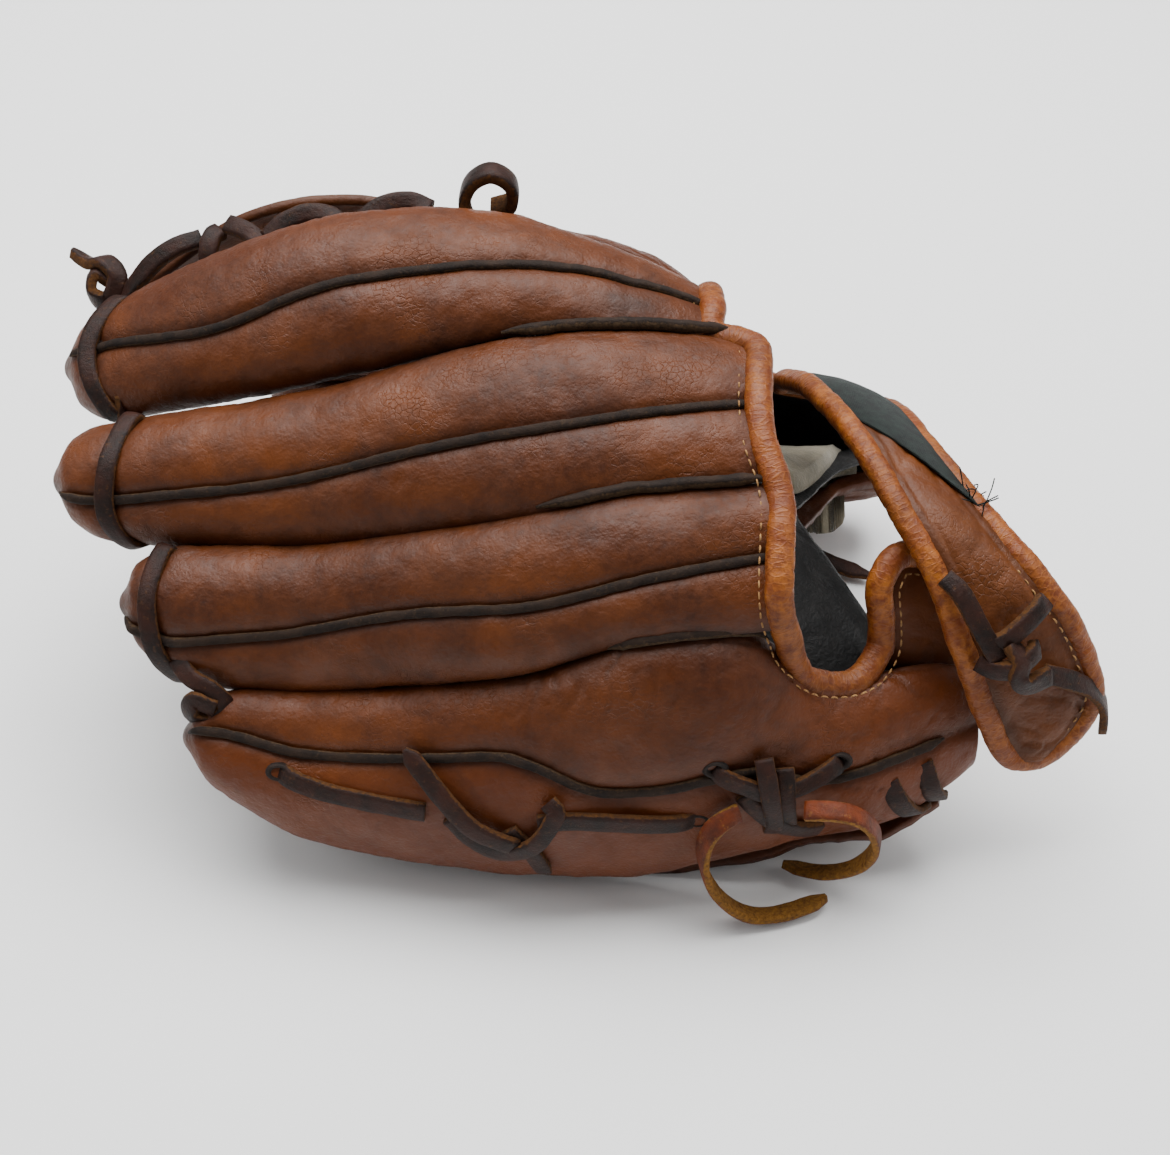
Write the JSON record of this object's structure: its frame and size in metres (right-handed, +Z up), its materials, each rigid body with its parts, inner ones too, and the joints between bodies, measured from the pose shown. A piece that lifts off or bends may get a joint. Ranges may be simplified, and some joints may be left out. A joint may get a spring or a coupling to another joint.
{
  "type": "five-finger baseball fielding glove",
  "caption": "Leather fielding glove with separate stitched fingers, laced web, rolled back opening and wrist strap, resting palm down on its edges.",
  "frame": {"origin": "middle of the footprint, on the surface that the glove stands on", "axes": "+X from the fingertips to the wrist, +Y from the little finger's side to the thumb's side, +Z up, away from the palm"},
  "size_m": [0.3059, 0.2069, 0.1566],
  "materials": {
    "glove_leather": "worn, waxy",
    "edge_leather": "worn, cracked",
    "welt_leather": "dull",
    "lace_leather": "oiled",
    "lining_leather": "matt",
    "felt": "felt",
    "label": "woven"
  },
  "bodies": {
    "finger_side": {"back_opening_binding": "edge_leather", "finger_palm_hide": "glove_leather", "finger_palm_lining": "lining_leather", "finger_palm_pad": "felt", "fingertip_lace": "lace_leather", "heel_edge_lace": "lace_leather", "heel_flap": "edge_leather", "heel_knot": "lace_leather", "heel_tail_left": "lace_leather", "heel_tail_right": "lace_leather", "index_back": "glove_leather", "index_front": "glove_leather", "index_middle_crotch_welt": "welt_leather", "index_tip_knot": "lace_leather", "index_welt": "welt_leather", "middle_back": "glove_leather", "middle_front": "glove_leather", "middle_ring_crotch_welt": "welt_leather", "middle_welt": "welt_leather", "pinky_back": "glove_leather", "pinky_edge_knot": "lace_leather", "pinky_edge_lace": "lace_leather", "pinky_front": "glove_leather", "pinky_welt": "welt_leather", "ring_back": "glove_leather", "ring_front": "glove_leather", "ring_pinky_crotch_welt": "welt_leather", "ring_pinky_knot": "lace_leather", "ring_welt": "welt_leather", "thumb_gusset": "edge_leather", "top_loop_lace": "lace_leather", "web_index_lace": "lace_leather"},
    "thumb_side": {"thumb_back": "glove_leather", "thumb_front": "glove_leather", "thumb_heel_felt": "felt", "thumb_opening_binding": "edge_leather", "thumb_palm_hide": "glove_leather", "thumb_palm_lining": "lining_leather", "thumb_palm_pad": "felt", "thumb_welt": "welt_leather", "web_panel": "edge_leather", "web_thumb_lace": "lace_leather", "pocket_tail": "lace_leather"},
    "strap": {"strap_binding": "edge_leather", "strap_label": "label", "strap_lace": "lace_leather", "strap_lining": "lining_leather", "strap_tail": "lace_leather", "wrist_strap": "edge_leather"}
  },
  "joints": [
    {"name": "pocket_fold", "type": "hinge", "parent": "finger_side", "child": "thumb_side", "pos_m": [0.0705, 0.0075, 0.055], "axis": [0.8283, -0.2588, -0.497], "range_deg": [-5, 10]},
    {"name": "strap_follow", "type": "hinge", "parent": "finger_side", "child": "strap", "pos_m": [0.1165, -0.0685, 0.045], "axis": [0.9145, 0.2861, -0.2861], "range_deg": [-1.8, 3.6]}
  ],
  "couplings": [
    {"joint": "strap_follow", "follows": "pocket_fold", "ratio": 0.36}
  ]
}
